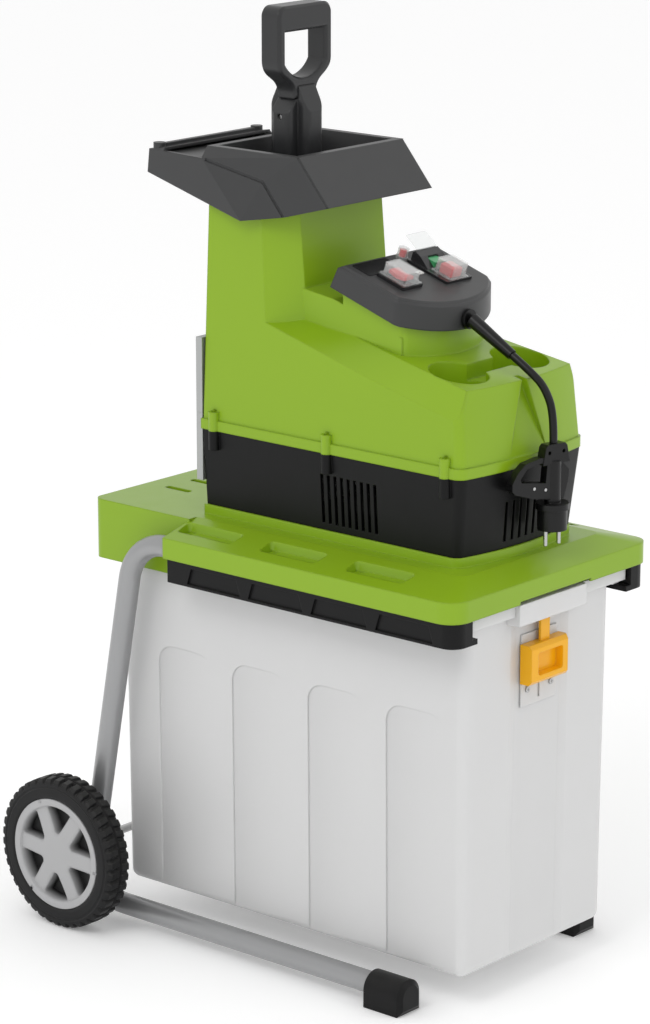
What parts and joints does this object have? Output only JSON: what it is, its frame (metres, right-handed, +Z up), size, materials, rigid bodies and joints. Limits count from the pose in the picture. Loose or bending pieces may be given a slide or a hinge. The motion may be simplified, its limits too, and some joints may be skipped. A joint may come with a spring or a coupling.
{
  "type": "garden shredder",
  "caption": "Electric garden shredder: wheeled tube frame, slide-out chip box, green housing with a geared roller cutter, raised hopper with a feed plunger, and a short cord with a plug.",
  "frame": {"origin": "on the floor, below the middle of the whole machine between its outermost sides and its front and back, leaving out the cord and plug", "axes": "+X across to the right as seen from the front, +Y from the latch at the front to the wheels at the back, +Z up from the floor to the plunger's grip"},
  "size_m": [0.456, 0.6415, 1.07],
  "materials": {
    "frame_paint": "silver grey powder coat",
    "black_plastic": "black moulded plastic",
    "tyre_plastic": "black moulded wheel",
    "grey_trim": "silver grey plastic",
    "steel": "plain steel",
    "green_plastic": "lime green moulded plastic",
    "box_plastic": "translucent white plastic",
    "yellow_plastic": "amber plastic",
    "dark_plastic": "dark grey moulded plastic",
    "inlay_black": "glossy black",
    "clear_cover": "clear soft plastic",
    "red_plastic": "red plastic",
    "start_green": "green plastic",
    "light_plastic": "white plastic",
    "cast_metal": "cast, unpainted",
    "tool_steel": "hardened steel",
    "gear_steel": "cut gear steel",
    "motor_core": "laminated iron",
    "copper": "enamelled copper wire",
    "cord_rubber": "black rubber",
    "pin_metal": "nickel plated"
  },
  "bodies": {
    "machine": {"frame_tube_left": "frame_paint", "frame_tube_right": "frame_paint", "foot_cap_left": "black_plastic", "foot_cap_right": "black_plastic", "axle": "steel", "axle_washers": "black_plastic", "axle_clips": "steel", "deck": "green_plastic", "rail_left": "black_plastic", "rail_right": "black_plastic", "base_housing": "black_plastic", "control_panel": "dark_plastic", "upper_housing": "green_plastic", "housing_screws": "steel", "hopper": "dark_plastic", "chamber_upper": "cast_metal", "chamber_lower": "cast_metal", "cutter_bearings": "steel", "motor_stator": "motor_core", "motor_windings": "copper", "motor_end_bell": "cast_metal", "gearbox_housing": "cast_metal", "capacitor": "dark_plastic", "safety_switch": "black_plastic", "panel_inlay": "inlay_black", "selector_seat": "inlay_black", "selector_cover": "clear_cover", "reset_cap": "clear_cover", "switch_bezel": "inlay_black", "start_flap": "clear_cover", "stop_cover": "clear_cover", "indicator": "light_plastic", "cord_boot": "cord_rubber", "power_cord": "cord_rubber", "plug_body": "cord_rubber", "plug_pins": "pin_metal"},
    "box": {"chip_box": "box_plastic", "latch_plate": "box_plastic", "latch_screws": "steel"},
    "latch": {"latch_slider": "yellow_plastic"},
    "wheel_left": {"wheel_tyre_left": "tyre_plastic", "wheel_trim_left": "grey_trim"},
    "wheel_right": {"wheel_tyre_right": "tyre_plastic", "wheel_trim_right": "grey_trim"},
    "plunger": {"plunger_stem": "dark_plastic", "plunger_grip": "dark_plastic", "plunger_pin": "steel"},
    "cutter": {"cutter_shaft": "steel", "cutter_roller": "tool_steel", "output_gear": "gear_steel"},
    "countershaft": {"layshaft": "gear_steel"},
    "rotor": {"motor_rotor": "motor_core", "cooling_fan": "black_plastic"},
    "plate": {"pressure_plate": "cast_metal"},
    "adjuster": {"adjusting_screw": "steel", "adjusting_knob": "black_plastic"},
    "rocker": {"direction_rocker": "red_plastic"},
    "reset": {"reset_button": "red_plastic"},
    "start": {"start_button": "start_green"},
    "stop": {"stop_button": "red_plastic"}
  },
  "joints": [
    {"name": "box_slide", "type": "slide", "parent": "machine", "child": "box", "axis": [0, -1, 0], "range_m": [0, 0.45]},
    {"name": "latch_slide", "type": "slide", "parent": "box", "child": "latch", "axis": [0, 0, 1], "range_m": [0, 0.01]},
    {"name": "wheel_left_spin", "type": "hinge", "parent": "machine", "child": "wheel_left", "pos_m": [-0.2, 0.23, 0.09], "axis": [1, 0, 0], "continuous": true},
    {"name": "wheel_right_spin", "type": "hinge", "parent": "machine", "child": "wheel_right", "pos_m": [0.2, 0.23, 0.09], "axis": [1, 0, 0], "continuous": true},
    {"name": "plunger_slide", "type": "slide", "parent": "machine", "child": "plunger", "axis": [0, 0, 1], "range_m": [0, 0.3]},
    {"name": "cutter_spin", "type": "hinge", "parent": "machine", "child": "cutter", "pos_m": [-0.018, 0.05, 0.614], "axis": [0, 1, 0], "continuous": true},
    {"name": "countershaft_spin", "type": "hinge", "parent": "machine", "child": "countershaft", "pos_m": [0.05046, -0.03, 0.59566], "axis": [0, 1, 0], "continuous": true},
    {"name": "rotor_spin", "type": "hinge", "parent": "machine", "child": "rotor", "pos_m": [0.00671, -0.14, 0.59566], "axis": [0, 1, 0], "continuous": true},
    {"name": "plate_slide", "type": "slide", "parent": "machine", "child": "plate", "axis": [1, 0, 0], "range_m": [0, 0.004]},
    {"name": "adjuster_turn", "type": "hinge", "parent": "machine", "child": "adjuster", "pos_m": [0.12, 0.0495, 0.614], "axis": [1, 0, 0], "range_deg": [0, 960]},
    {"name": "rocker_tilt", "type": "hinge", "parent": "machine", "child": "rocker", "pos_m": [-0.043, -0.13335, 0.79038], "axis": [1, 0, 0], "range_deg": [-8, 8]},
    {"name": "reset_press", "type": "slide", "parent": "machine", "child": "reset", "axis": [0, 0.3143, -0.9493], "range_m": [0, 0.002], "stiffness_N_per_m": 400},
    {"name": "start_press", "type": "slide", "parent": "machine", "child": "start", "axis": [0, 0.3143, -0.9493], "range_m": [0, 0.002], "stiffness_N_per_m": 400},
    {"name": "stop_press", "type": "slide", "parent": "machine", "child": "stop", "axis": [0, 0.3143, -0.9493], "range_m": [0, 0.002], "stiffness_N_per_m": 400}
  ],
  "couplings": [
    {"joint": "countershaft_spin", "follows": "cutter_spin", "ratio": -8},
    {"joint": "rotor_spin", "follows": "cutter_spin", "ratio": 48},
    {"joint": "adjuster_turn", "follows": "plate_slide", "rad_per_m": 4188.8}
  ]
}
